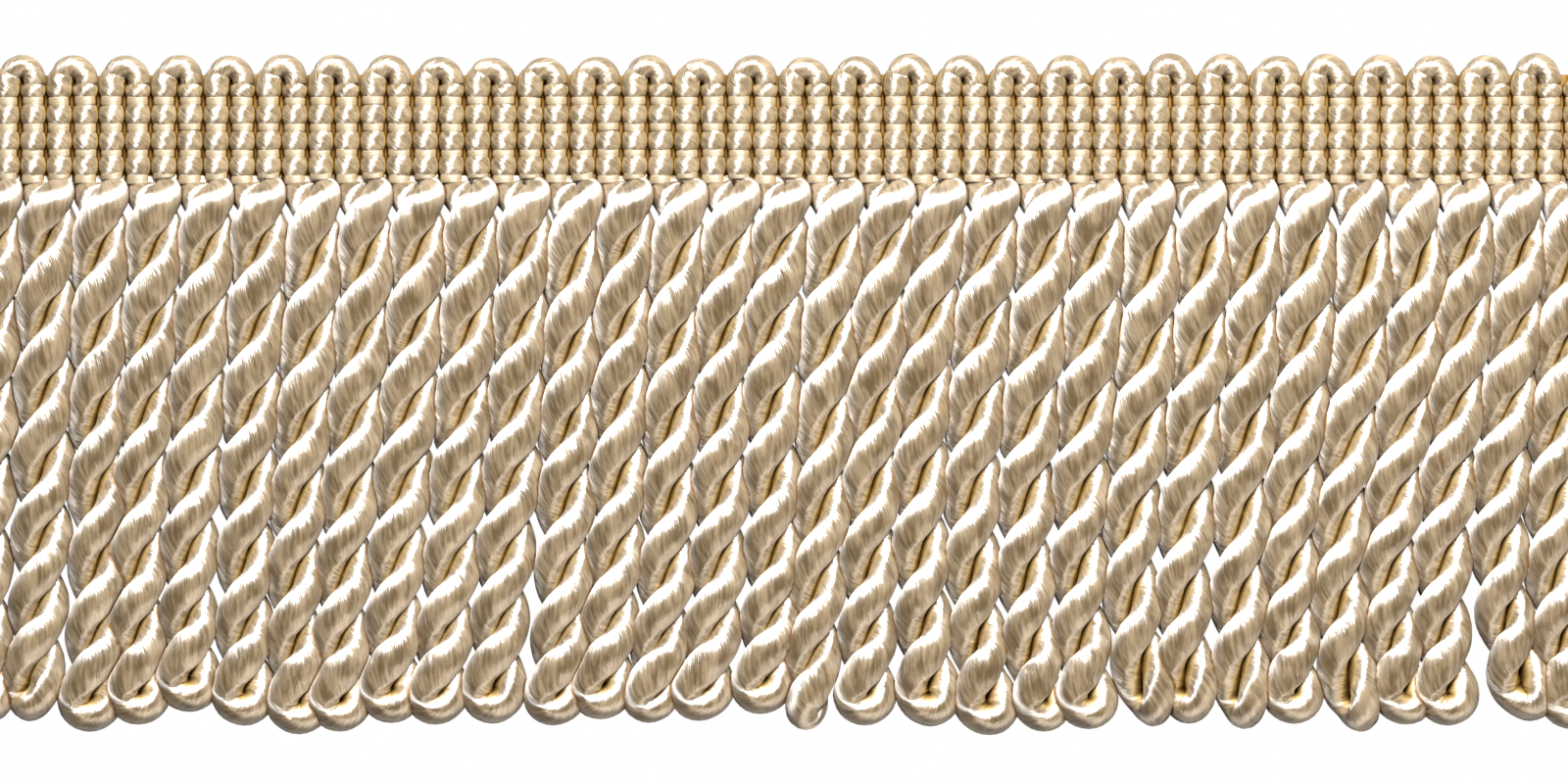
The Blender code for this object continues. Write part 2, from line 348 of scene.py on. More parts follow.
class Loom:
    """Makes cords: one Geometry Nodes tree sweeps an oval section along each path."""

    vectors = ("wide", "deep")
    scalars = ("crease_in", "crease_out", "inward", "start", "crown", "inner_crown", "crease_from")
    lump_share = 0.1  # how much the noise swells a section
    lump_size = 1.6 * MM

    def __init__(self) -> None:
        """Builds the tree once for all cords."""
        inputs = {"Paths": "Geometry", "Sides": "Int", "Lump share": "Float", "Lump size": "Float"}
        inputs["Finish"] = "Material"
        self.group = new_group("swept_cord", "GeometryNodeTree", inputs, {"Cords": "Geometry"})
        self._fill(NodeTree(self.group))

    def _fill(self, t: NodeTree) -> None:
        """Adds the tree's nodes.

        Args:
            t: the tree.
        """
        given = t.add("NodeGroupInput").outputs
        curve = t.add("GeometryNodeMeshToCurve", {"Mesh": given["Paths"]}).outputs["Curve"]
        place = t.add("GeometryNodeInputPosition").outputs[0]
        curve = t.store(curve, "centre", place, "FLOAT_VECTOR")
        length = t.add("GeometryNodeSplineParameter").outputs["Length"]
        curve = t.store(curve, "along", t.math("ADD", length, t.read("start")))
        mesh, angle = t.tube(curve, given["Sides"])
        sine = t.math("SINE", angle)
        offset = self._offset(t, angle, sine)
        middle = t.read("centre", "FLOAT_VECTOR")
        fineness = t.math("DIVIDE", 1.0, given["Lump size"])
        sample = {"Vector": t.vector_math("ADD", middle, offset), "Scale": fineness, "Detail": 1.0}
        noise = t.add("ShaderNodeTexNoise", sample).outputs[0]
        swell = t.math("MULTIPLY", t.math("SUBTRACT", noise, 0.5), given["Lump share"])
        uneven = t.scaled(offset, t.math("ADD", swell, 1.0))
        mesh = t.moved(mesh, "Position", t.vector_math("ADD", middle, uneven))
        # The fold mask paints shade into the cord's creases.
        mesh = t.store(mesh, "fold", self._fold(t, sine))
        mesh = t.add("GeometryNodeSetShadeSmooth", {"Geometry": mesh}).outputs["Geometry"]
        t.hand_over("Cords", mesh, given["Finish"])

    @staticmethod
    def _offset(t: NodeTree, angle: Socket, sine: Socket) -> Socket:
        """Adds the nodes that lead from a cord's middle to its skin.

        Args:
            t: the tree.
            angle: a point's angle in the section.
            sine: the angle's sine.

        Returns:
            The way from the middle to the skin.
        """
        across = t.scaled(t.read("wide", "FLOAT_VECTOR"), t.math("COSINE", angle))
        # Outside, a crown above 1 makes the section slope more evenly than an oval does.
        outer = t.math("POWER", t.math("MAXIMUM", sine, 0.0), t.read("crown"))
        inner = t.math("MULTIPLY", t.math("MINIMUM", sine, 0.0), -1.0)
        inner = t.math("POWER", inner, t.read("inner_crown"))
        inner = t.math("MULTIPLY", inner, t.math("MULTIPLY", t.read("inward"), -1.0))
        through = t.scaled(t.read("deep", "FLOAT_VECTOR"), t.math("ADD", outer, inner))
        return t.vector_math("ADD", across, through)

    @staticmethod
    def _fold(t: NodeTree, sine: Socket) -> Socket:
        """Adds the nodes that say how deep in a fold a point lies, which sets its painted shade.

        Args:
            t: the tree.
            sine: the sine of its angle in the section.

        Returns:
            From 0, in the open, to 1.
        """
        crease_from = t.read("crease_from")
        sides = (("crease_in", t.math("MULTIPLY", sine, -1.0)), ("crease_out", sine))
        folds = [t.math("MULTIPLY", t.smooth_step(way, crease_from, 1.0), t.read(key)) for key, way in sides]
        return t.math("ADD", *folds)

    def sweep(
        self, name: str, paths: Sequence[CordPath], finish: bpy.types.Material, sides: int
    ) -> bpy.types.Object:
        """Sweeps cords along paths as one plain mesh object.

        Args:
            name: the piece's name.
            paths: one path for each cord.
            finish: the cords' material.
            sides: how many points go round a cord.

        Returns:
            The finished piece, at the origin.
        """
        guide = bpy.data.meshes.new(name + "_path")
        edges = []
        first = 0
        for path in paths:
            count = len(path.centre)
            edges += [(first + i, first + i + 1) for i in range(count - 1)]
            first += count
        guide.from_pydata(np.concatenate([p.centre for p in paths]).tolist(), edges, [])
        for key in self.vectors:
            layer = guide.attributes.new(key, "FLOAT_VECTOR", "POINT")
            values = np.concatenate([getattr(p, key) for p in paths])
            layer.data.foreach_set("vector", values.astype(np.float32).ravel())
        for key in self.scalars:
            layer = guide.attributes.new(key, "FLOAT", "POINT")
            values = np.concatenate([np.broadcast_to(getattr(p, key), len(p.centre)) for p in paths])
            layer.data.foreach_set("value", values.astype(np.float32))
        inputs = {"Sides": sides, "Lump share": self.lump_share, "Lump size": self.lump_size}
        return realised(name, guide, self.group, {**inputs, "Finish": finish})


class Bullion(NamedTuple):
    """How one bullion lies. The first four are millimetres to the right of its even place."""

    root: float
    third: float
    two_thirds: float
    eye: float
    first_slit: float  # millimetres below the foot where the plies first lie side by side
    depth: float  # millimetres below the foot of the eye in the end loop
    half_turns: float  # from the foot to the eye


class Drift(NamedTuple):
    """Millimetres that every bullion lies further to the right than its own row says."""

    root: float = 0.5
    third: float = -0.1
    two_thirds: float = -0.4
    eye: float = 0.0


BULLIONS = (
    # root, third, two_thirds, eye, first_slit, depth, half_turns
    Bullion(0.0, -0.3, -0.6, -1.0, 8.2, 57.2, 7.0),
    Bullion(0.1, 0.2, 0.1, -1.5, 6.3, 56.9, 7.4),
    Bullion(0.2, 0.2, 0.5, -0.7, 7.9, 58.1, 7.1),
    Bullion(0.3, 0.0, -0.7, -1.3, 7.4, 57.3, 7.0),
    Bullion(0.3, -0.2, -0.9, -1.5, 7.9, 55.9, 7.1),
    Bullion(0.3, 0.1, -0.4, -1.2, 7.2, 57.4, 7.1),
    Bullion(0.4, 0.3, -0.7, -1.0, 9.1, 58.4, 7.0),
    Bullion(0.4, 0.2, -1.0, -2.2, 8.7, 58.1, 7.0),
    Bullion(0.4, 0.2, -0.9, -2.3, 7.7, 57.1, 7.1),
    Bullion(0.6, 0.4, -0.6, -3.0, 7.6, 57.3, 7.0),
    Bullion(0.7, 0.4, -0.6, -2.6, 7.5, 57.2, 7.2),
    Bullion(0.5, 0.2, 0.1, -1.5, 9.9, 57.4, 7.0),
    Bullion(0.5, 0.2, -0.1, -2.1, 6.8, 56.7, 7.1),
    Bullion(0.7, 0.0, -0.1, -2.4, 9.1, 57.1, 6.9),
    Bullion(0.9, -0.3, -0.3, -2.6, 8.3, 56.9, 7.0),
    Bullion(0.7, -0.7, -0.2, -1.7, 7.7, 56.1, 7.1),
    Bullion(0.6, -0.1, -0.8, -2.6, 8.4, 57.9, 6.7),
    Bullion(0.7, -0.5, -1.0, -2.0, 7.0, 57.4, 7.0),
    Bullion(0.7, -1.0, -1.3, -0.8, 6.3, 57.5, 7.2),
    Bullion(0.5, -1.0, -1.4, -0.2, 7.6, 58.5, 7.1),
    Bullion(0.3, -0.4, -1.3, 0.0, 7.9, 58.1, 6.9),
    Bullion(0.0, -0.3, -1.1, -0.7, 7.6, 57.8, 7.0),
    Bullion(-0.2, 0.3, -1.1, 0.3, 9.2, 57.5, 6.5),
    Bullion(-0.3, 0.4, -0.9, -1.2, 8.7, 57.2, 6.4),
    Bullion(-0.2, 0.2, -0.6, -0.8, 8.3, 57.8, 6.5),
    Bullion(0.0, 0.1, -0.8, -1.1, 8.4, 57.2, 7.0),
    Bullion(-0.2, 0.7, -1.2, 0.0, 9.9, 58.1, 6.5),
    Bullion(-0.2, 0.7, -1.3, -0.6, 9.7, 57.3, 7.0),
    Bullion(0.1, 0.2, -1.3, -1.5, 7.0, 57.4, 7.1),
    Bullion(0.0, 0.3, -1.0, 1.3, 7.8, 56.9, 7.3),
    Bullion(0.0, -0.3, -0.8, 0.5, 9.6, 57.8, 7.0),
)


@dataclass(frozen=True)
class Lie:
    """Where the heading lies, worked out from the frame's nodes."""

    left: float
    pitch: float
    foot: float

    @property
    def rib(self) -> float:
        """Width of one rib."""
        return self.pitch / 2

    @classmethod
    def of_frame(cls) -> "Lie":
        """Reads the lie from the box of the heading.

        Returns:
            The lie.
        """
        low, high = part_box(Node.HEADING.value)
        foot = high.y - HEADING_HEIGHT
        return cls(low.x, (high.x - low.x) / len(BULLIONS), foot)

    def bullion_x(self, index: int) -> float:
        """X of the middle of a bullion's two ribs."""
        return self.left + (index + 0.5) * self.pitch

    def rib_x(self, index: int) -> float:
        """X of the middle of a rib."""
        return self.left + (index + 0.5) * self.rib


def unit(vectors: Array) -> Array:
    """Scales each row to length 1."""
    return vectors / np.linalg.norm(vectors, axis=1, keepdims=True)


def square_to(vectors: Array, tangent: Array) -> Array:
    """Takes out each vector's part along a unit tangent, and scales what is left to length 1."""
    return unit(vectors - tangent * np.sum(vectors * tangent, axis=1, keepdims=True))


def eased(values: Array) -> Array:
    """Smooth step of values, which are held between 0 and 1."""
    held = np.clip(values, 0.0, 1.0)
    return held * held * (3 - 2 * held)


def relaxed(points: Array, rounds: int) -> Array:
    """Eases small kinks out of a line of points.

    Args:
        points: the points.
        rounds: how often each point moves towards its neighbours.

    Returns:
        The eased points. The ends stay.
    """
    for _ in range(rounds):
        inner = points[:-2] / 4 + points[1:-1] / 2 + points[2:] / 4
        points = np.concatenate([points[:1], inner, points[-1:]])
    return points


class Twist(NamedTuple):
    """The twist of one bullion, at every point of its cord."""

    eye: float  # the eye's depth below the foot
    depth: Array
    side: Array  # 1 for the strand that starts on the right, -1 for the other
    turn: Array  # radians made round the bullion's middle line
    lift: Array  # how far a ply rises at most above that line
    middle: Array  # that line


@dataclass
class BullionCords:
    """The twisted bights below the heading, one piece for each bullion."""

    lie: Lie
    loom: Loom
    finish: bpy.types.Material
    ply_radius: float = 1.86 * MM  # from the bullion's middle to a ply's middle
    ply_height: float = 1.45 * MM  # the same, up from the middle
    half_width: float = 2.14 * MM
    half_depth: float = 1.64 * MM
    slimming: float = 0.1  # share by which the plies are narrower in the lower part
    slim_from: float = 20 * MM  # below the foot
    slim_onset: float = 15 * MM
    slim_fade: float = 8 * MM  # above the eye, over which the plies get their width back
    squash: float = 0.08 * MM  # how far each ply reaches past the middle, into its sister
    inward_limits: tuple[float, float] = (0.8, 2.4)
    crown: float = 1.35
    dwell: float = 0.11  # how much longer the plies lie side by side than one on the other
    root_half_width: float = 1.42 * MM
    root_half_depth: float = 1.0 * MM
    root_height: float = 1.25 * MM
    root_blend: float = 1.5 * MM  # over which a strand gets its full width
    rise_blend: float = 2.2 * MM  # over which the plies rise to their full height
    root_lift: float = 0.4  # share of their lift that the plies have at the foot
    root_turn: float = 0.01  # half turns already made at the hidden end of a strand
    root_lag: float = 0.9 * MM  # over which a strand leaves its rib
    left_lag: float = 1.3  # how many such lengths later the left strand does
    held_down: float = 0.6  # share of its lift that a strand lacks while it is at its rib
    hidden_root: float = 0.9 * MM  # how far a strand reaches up past the foot
    fold_onset: float = 2 * MM  # over which the fold between the plies deepens
    loop_points: int = 15
    loop_stretch: float = 1.3
    loop_spread: float = 0.3  # how much further apart the plies are at the eye
    tip_length: float = 3.5 * MM
    tip_rounds: int = 10
    tip_flattening: float = 0.2 * MM
    inner_crown: float = 1.0
    loop_crown: float = 0.3
    tightening: float = 0.12  # how much shorter the half turns get downwards
    end_tightening: float = 0.2  # the same for the last ones alone
    fade: float = 0.2  # half turns over which the twist dies out before the eye
    turn_steps: int = 60
    spacing: float = 0.38 * MM
    smoothing: int = 4
    pattern_step: float = 0.137  # metres of fibre pattern between one bullion and the next
    press_step: float = 0.4 * MM
    press_depth: float = 66 * MM
    press_from: float = 3.5 * MM  # where bullions start to swell, below the foot
    press_onset: float = 4 * MM
    press_until: float = 44 * MM
    press_fade: float = 24 * MM
    reach_window: int = 2  # steps to either side over which a bullion's reach is evened out
    swell: float = 1.1 * MM  # how far a bullion swells towards a neighbour that it would hardly touch
    seam: float = 0.2 * MM  # how far it may then reach into the neighbour
    groove: float = 0.35 * MM  # how near the neighbour's skin a seam's shade starts
    clearance: float = 0.02 * MM  # between the cords and the table
    sides: int = 24
    pieces: list[bpy.types.Object] = field(default_factory=list)

    def build(self) -> list[bpy.types.Object]:
        """Makes every bullion.

        Returns:
            The pieces.
        """
        for index in range(len(BULLIONS)):
            name = f"bullion_{index + 1:02d}"
            self.pieces.append(self.loom.sweep(name, [self.path(index)], self.finish, self.sides))
        self.press()
        return self.pieces

    def press(self) -> None:
        """Brings neighbours together: they swell where they would hardly part, and get seams with painted
        shade.
        """
        shapes = [self.points_of(piece) for piece in self.pieces]
        depths = np.arange(0.0, self.press_depth, self.press_step)
        onset = eased((depths - self.press_from) / self.press_onset)
        closing = self.swell * onset * eased((self.press_until - depths) / self.press_fade)
        reach = [self.reach(points, depths) for points in shapes]
        for index, points in enumerate(shapes):
            depth = self.lie.foot - points[:, 1]
            middle = self.middle_x(index, depth)
            moved = points[:, 0].copy()
            for side, other in self.neighbours(index):
                gap = (reach[other][-side] - reach[index][side]) * side
                grown = np.clip(gap / 2 + self.seam, 0.0, closing)
                free = np.interp(depth, depths, reach[index][side])
                near = np.clip((points[:, 0] - middle) / (free - middle), 0, 1)
                moved += side * np.interp(depth, depths, grown) * near ** 3
            points[:, 0] = moved
            points[:, 2] = np.maximum(points[:, 2], self.clearance)
        self.mark_seam_shade(shapes)

    @staticmethod
    def points_of(piece: bpy.types.Object) -> Array:
        """A piece's mesh points, one in each row."""
        return numbers(piece.data.vertices, "co", width=3).reshape(-1, 3).astype(float)

    @staticmethod
    def neighbours(index: int) -> list[tuple[int, int]]:
        """The bullions beside one: 1 and its right neighbour, -1 and its left neighbour."""
        beside = ((1, index + 1), (-1, index - 1))
        return [(side, other) for side, other in beside if 0 <= other < len(BULLIONS)]

    def mark_seam_shade(self, shapes: list[Array]) -> None:
        """Puts the points back into the pieces and marks a seam, for painted shade, where a neighbour's skin
        is near.

        Args:
            shapes: every bullion's mesh points.
        """
        skins = []
        for piece, points in zip(self.pieces, shapes):
            faces = [tuple(face.vertices) for face in piece.data.polygons]
            skins.append(BVHTree.FromPolygons(points.tolist(), faces))
        for index, (piece, points) in enumerate(zip(self.pieces, shapes)):
            seam = np.zeros(len(points), np.float32)
            aside = points[:, 0] - self.middle_x(index, self.lie.foot - points[:, 1])
            for side, other in self.neighbours(index):
                for point in np.nonzero(aside * side > self.half_width / 2)[0]:
                    away = skins[other].find_nearest(Vector(points[point]), self.groove)[3]
                    if away is not None:
                        seam[point] = max(seam[point], 1.0 - away / self.groove)
            piece.data.vertices.foreach_set("co", points.astype(np.float32).ravel())
            # The seam mark paints shade where two bullions touch.
            layer = piece.data.attributes.new("seam", "FLOAT", "POINT")
            layer.data.foreach_set("value", seam)
            piece.data.update()

    def reach(self, points: Array, depths: Array) -> dict[int, Array]:
        """How far a bullion reaches to its right and left at depths below the foot.

        Args:
            points: its mesh points.
            depths: depths in even steps.

        Returns:
            The right and the left reach, under 1 and -1.
        """
        slot = np.round((self.lie.foot - points[:, 1]) / self.press_step).astype(int)
        inside = (slot >= 0) & (slot < len(depths))
        window = 2 * self.reach_window + 1
        found = {}
        for side in (1, -1):
            best = np.full(len(depths), -np.inf)
            np.maximum.at(best, slot[inside], points[inside, 0] * side)
            wide = np.maximum(best, np.maximum(np.roll(best, 1), np.roll(best, -1)))
            padded = np.pad(wide, self.reach_window, mode="edge")
            found[side] = np.convolve(padded, np.ones(window) / window, "valid") * side
        return found

    def middle_x(self, index: int, depth: Array) -> Array:
        """X of a bullion's middle at depths below the foot: one cubic through its four places.

        Args:
            index: the bullion.
            depth: depths below the foot.

        Returns:
            X at each depth.
        """
        bullion = BULLIONS[index]
        share = depth / (bullion.depth * MM)
        places = [own + common for own, common in zip(bullion[:4], Drift())]
        knots = (0.0, 1 / 3, 2 / 3, 1.0)
        total = np.zeros_like(depth)
        for here, place in zip(knots, places):
            others = [other for other in knots if other != here]
            total += place * np.prod([(share - other) / (here - other) for other in others], axis=0)
        return self.lie.bullion_x(index) + total * MM

    def half_turns_at(self, bullion: Bullion, depth: Array) -> Array:
        """Half turns made down to depths below the foot. The twist dies out at the eye.

        Args:
            bullion: the bullion.
            depth: depths below the foot.

        Returns:
            Half turns at each depth.
        """
        first, eye = bullion.first_slit * MM, bullion.depth * MM
        turned = np.linspace(1, bullion.half_turns, self.turn_steps)
        share = (turned - 1) / (bullion.half_turns - 1)
        late = self.tightening * share + self.end_tightening * share ** 3
        places = first + (eye - first) * (share + late * (1 - share))
        raw = np.interp(depth, np.append(-self.hidden_root, places), np.append(self.root_turn, turned))
        rate = (bullion.half_turns - 1) / (eye - first)
        raw = np.where(depth > eye, bullion.half_turns + (depth - eye) * rate, raw)
        left = (bullion.half_turns - raw) / self.fade
        return bullion.half_turns - self.fade * np.logaddexp(0.0, left)

    def twist(self, index: int) -> Twist:
        """Lays out one bullion: down the right strand, round the end loop and up the left one.

        Args:
            index: the bullion.

        Returns:
            Its twist.
        """
        bullion = BULLIONS[index]
        eye = bullion.depth * MM
        limb = np.arange(-self.hidden_root, eye, self.spacing)
        bend = np.linspace(0, math.pi, self.loop_points)
        drop = self.ply_radius * self.loop_stretch * np.sin(bend)
        depth = np.concatenate([limb, eye + drop, limb[::-1]])
        side = np.concatenate([np.ones_like(limb), np.cos(bend), -np.ones_like(limb)])
        turns = self.half_turns_at(bullion, depth)
        turn = math.pi * turns - self.dwell * np.sin(2 * math.pi * turns)
        risen = eased(depth / self.rise_blend)
        lift = self.ply_height * (self.root_lift + (1 - self.root_lift) * risen)
        lying = self.ply_height + self.half_depth
        height = self.root_height + (lying - self.root_height) * risen
        middle = np.stack([self.middle_x(index, depth), self.lie.foot - depth, height], axis=1)
        return Twist(eye, depth, side, turn, lift, middle)

    def centre(self, index: int, twist: Twist) -> Array:
        """The middle line of a bullion's cord, whose strands leave their ribs one after the other.

        Args:
            index: the bullion.
            twist: its twist.

        Returns:
            The line's points.
        """
        side, middle_x = twist.side, twist.middle[:, 0]
        spread = 1 + self.loop_spread * eased((twist.depth - twist.eye) / self.tip_length + 1)
        lag = np.where(side < 0, self.left_lag, 0.0)
        waiting = 1 - eased(twist.depth / self.root_lag - lag)
        rib_x = self.lie.bullion_x(index) + side * self.lie.rib / 2
        aside = self.ply_radius * side * spread * np.cos(twist.turn)
        aside += (rib_x - middle_x - aside) * waiting
        rise = side * twist.lift * np.sin(twist.turn) * (1 - self.held_down * waiting)
        reach = np.stack([aside, np.zeros_like(aside), rise], axis=1)
        centre = relaxed(twist.middle + reach, self.smoothing)
        tip = np.nonzero(twist.depth > twist.eye - self.tip_length)[0]
        centre[tip] = relaxed(centre[tip], self.tip_rounds)
        return centre

    def path(self, index: int) -> CordPath:
        """The cord of one bullion, with its section.

        Args:
            index: the bullion.

        Returns:
            Its path.
        """
        twist = self.twist(index)
        centre = self.centre(index, twist)
        depth, eye = twist.depth, twist.eye
        grown = eased(depth / self.root_blend)
        looped = eased((depth - eye) / self.ply_radius + 0.5)
        slimmed = self.slimming * eased((depth - self.slim_from) / self.slim_onset)
        slim = 1 - slimmed * eased((eye - depth) / self.slim_fade)
        deep = self.root_half_width + (self.half_depth - self.root_half_width) * grown
        wide = self.root_half_depth + (self.half_width * slim - self.root_half_depth) * grown
        wide -= self.tip_flattening * looped
        # The end loop's section turns round the eye. Above it the section faces the middle line.
        hub = twist.middle.copy()
        hub[:, 1] = np.maximum(hub[:, 1], self.lie.foot - eye)
        gap = np.linalg.norm(centre - hub, axis=1)
        tangent = unit(np.gradient(centre, axis=0))
        outward = centre - hub
        outward[:, 2] += twist.side * (self.ply_height - twist.lift) * np.sin(twist.turn)
        outward = square_to(outward, tangent)
        return CordPath(
            centre=centre,
            wide=np.cross(tangent, outward) * wide[:, None],
            deep=outward * deep[:, None],
            # The inner side, which faces the sister ply, gets painted shade in the fold between the plies.
            crease_in=eased((depth - self.root_blend) / self.fold_onset),
            inward=np.clip((gap + self.squash) / deep, *self.inward_limits),
            start=self.pattern_step * index,
            crown=self.crown,
            inner_crown=self.inner_crown + self.loop_crown * looped,
        )


@dataclass
class HeadingLoops:
    """The cord's runs through the heading, joined in pairs by loops along the top edge."""

    lie: Lie
    loom: Loom
    finish: bpy.types.Material
    swell: float = 1.55 * MM  # half the width of a run between two bound rows
    waist: float = 0.95 * MM
    bead: float = 1.42 * MM  # half the length that a bead between two rows would have on its own
    top_bead: float = 1.6 * MM  # from the top row up to the middle of the bead over it
    height: float = 1.62 * MM
    row_heights: tuple[float, ...] = (0.75 * MM, 3.35 * MM, 6.33 * MM, 9.27 * MM)
    bottom: float = 0.2 * MM
    shoulder: float = 11.9 * MM  # where the loop leaves its two runs
    end_rounding: float = 1.2 * MM  # over which the first and the last run close
    full_top: float = 0.95  # share of the swell that a left run keeps above its top bead
    loop_half: float = 1.43 * MM
    loop_rise: float = 1.25 * MM
    rise_spread: float = 0.16  # of the loops' rise, in millimetres
    lean_spread: float = 0.15
    loop_shift: float = 0.1 * MM  # of every loop to the right
    loop_tilt: float = 0.1 * MM  # how much its left side lies higher and its right side lower
    loop_points: int = 21
    loop_rounds: int = 3
    loop_onset: float = 0.5 * MM
    loop_early: float = 0.1 * MM  # how far below its pinch a loop's own section starts
    loop_inward: float = 0.2  # share by which the section is shallower inside a loop
    pinches: tuple[float, float] = (12.35 * MM, 11.1 * MM)  # where a loop is drawn in, left and right
    pinching: tuple[float, float] = (0.1, 0.22)  # the share by which it is drawn in
    pinch_length: float = 0.28 * MM
    pinch_drop: float = 0.3 * MM
    loop_bend: float = 1.23 * MM  # from the loop's middle to its cord's middle
    thickest: float = 1.45 * MM  # half the thickness out of the heading's plane, at most
    crease_from: float = 0.8
    pattern_step: float = 0.173  # metres of fibre pattern between one rib's loop and the next
    end_pattern_step: float = 0.31
    spacing: float = 0.3 * MM
    sides: int = 20
    seed: int = 7

    def build(self) -> bpy.types.Object:
        """Makes all runs and loops as one piece.

        Returns:
            The piece.
        """
        chance = np.random.default_rng(self.seed)
        ribs = 2 * len(BULLIONS)
        paths = [self.end_run(0), self.end_run(ribs - 1)]
        for left in range(1, ribs - 2, 2):
            paths.append(self.loop(left, chance))
        return self.loom.sweep("heading_loops", paths, self.finish, self.sides)

    def girth(self, height: Array) -> Array:
        """Half width of a run at heights above the foot: waists under the rows, swells between.

        Args:
            height: heights above the foot.

        Returns:
            Half widths.
        """
        rows = np.array(self.row_heights)
        beads = np.append((rows[1:] + rows[:-1]) / 2, rows[-1] + self.top_bead)
        gap = np.abs(height[:, None] - beads[None, :]).min(axis=1)
        round_off = np.sqrt(np.maximum(1 - (gap / self.bead) ** 2, 0.0))
        return np.hypot(self.waist * np.minimum(gap / self.bead, 1), self.swell * round_off)

    def end_run(self, rib: int) -> CordPath:
        """The first or the last run, which ends plainly under a rounded top.

        Args:
            rib: its rib.

        Returns:
            Its path.
        """
        height = np.arange(self.bottom, self.shoulder, self.spacing)
        x, z = (np.full_like(height, value) for value in (self.lie.rib_x(rib), self.height))
        centre = np.stack([x, self.lie.foot + height, z], axis=1)
        end = (self.shoulder - height) / self.end_rounding
        half = self.girth(height) * np.sqrt(1 - (1 - np.clip(end, 0.02, 1)) ** 2)
        return self.dressed(centre, half, half, np.ones_like(half), self.end_pattern_step * rib)

    def loop(self, left: int, chance: np.random.Generator) -> CordPath:
        """Two runs and the loop that joins them over the top edge.

        Args:
            left: the left run's rib.
            chance: where its small unevenness comes from.

        Returns:
            Its path.
        """
        rise = self.loop_rise + chance.normal(0, self.rise_spread) * MM
        lean = chance.normal(0, self.lean_spread) * MM
        x_left, x_right = self.lie.rib_x(left), self.lie.rib_x(left + 1)
        up = np.arange(self.bottom, self.shoulder, self.spacing)
        bend = np.linspace(0, math.pi, self.loop_points)[1:-1]
        middle = (x_left + x_right) / 2 + self.loop_shift
        arch = middle + lean * np.sin(bend) - self.loop_bend * np.cos(bend)
        x = np.concatenate([np.full_like(up, x_left), arch, np.full_like(up, x_right)])
        height = np.concatenate([up, self.shoulder + rise * np.sin(bend), up[::-1]])
        z = np.full_like(x, self.height)
        z[len(up): len(up) + len(bend)] += self.loop_tilt * np.cos(bend)
        line = relaxed(np.stack([x, self.lie.foot + height, z], axis=1), self.loop_rounds)
        return self.drawn_in(line, height, left)

    def drawn_in(self, centre: Array, height: Array, left: int) -> CordPath:
        """Gives two runs and their loop a section that is drawn in where they meet.

        Args:
            centre: the middle line, which is lowered a little at the pinches.
            height: its points' heights above the foot.
            left: the left run's rib.

        Returns:
            Their path.
        """
        first = np.arange(len(height)) < len(height) / 2
        above = height > self.row_heights[-1] + self.top_bead
        size = np.maximum(self.girth(height), self.swell * self.full_top * first * above)
        pinch = np.where(first, *self.pinches)
        looped = eased((height - pinch + self.loop_early) / self.loop_onset)
        neck = np.exp(-(((height - pinch) / self.pinch_length) ** 2))
        size = size + (self.loop_half - size) * looped
        size = size * (1 - np.where(first, *self.pinching) * neck)
        centre[:, 2] -= self.pinch_drop * neck
        start = self.pattern_step * left
        path = self.dressed(centre, size, np.minimum(size, self.thickest), 1 - looped, start)
        path.inward = 1 - self.loop_inward * looped
        return path

    def dressed(self, centre: Array, across: Array, through: Array, crease: Array, start: float) -> CordPath:
        """A run's path with its section, whose deep side lies in the plane of the heading.

        Args:
            centre: the middle line.
            across: half the width in the plane of the heading.
            through: half the thickness, out of that plane.
            crease: how deep a fold the sides lie in, which sets their painted shade.
            start: where the fibre pattern starts.

        Returns:
            The path.
        """
        tangent = unit(np.gradient(centre, axis=0))
        wide = square_to(np.tile([0.0, 0.0, 1.0], (len(centre), 1)), tangent)
        return CordPath(
            centre=centre,
            wide=wide * through[:, None],
            deep=np.cross(wide, tangent) * across[:, None],
            crease_in=crease,
            crease_out=crease,
            start=start,
            crease_from=self.crease_from,
        )


@dataclass
class BackingWeb:
    """The binding yarn's floats behind the ribs, as one thin band along the heading. Its dark ochre brown is
    painted shade for the gaps between the ribs.
    """

    lie: Lie
    loom: Loom
    finish: bpy.types.Material
    bottom: float = 0.3 * MM  # above the foot
    top: float = 12.3 * MM
    height: float = 1.15 * MM
    thickness: float = 0.7 * MM
    sides: int = 24

    def build(self) -> bpy.types.Object:
        """Makes the band.

        Returns:
            The piece.
        """
        last = 2 * len(BULLIONS) - 1
        x = np.linspace(self.lie.rib_x(0), self.lie.rib_x(last), 4 * last + 1)
        middle = self.lie.foot + (self.bottom + self.top) / 2
        centre = np.stack([x, np.full_like(x, middle), np.full_like(x, self.height)], axis=1)
        ones = np.ones_like(x)
        wide = np.outer(ones, (0.0, (self.top - self.bottom) / 2, 0.0))
        deep = np.outer(ones, (0.0, 0.0, self.thickness / 2))
        return self.loom.sweep("backing_web", [CordPath(centre, wide, deep)], self.finish, self.sides)


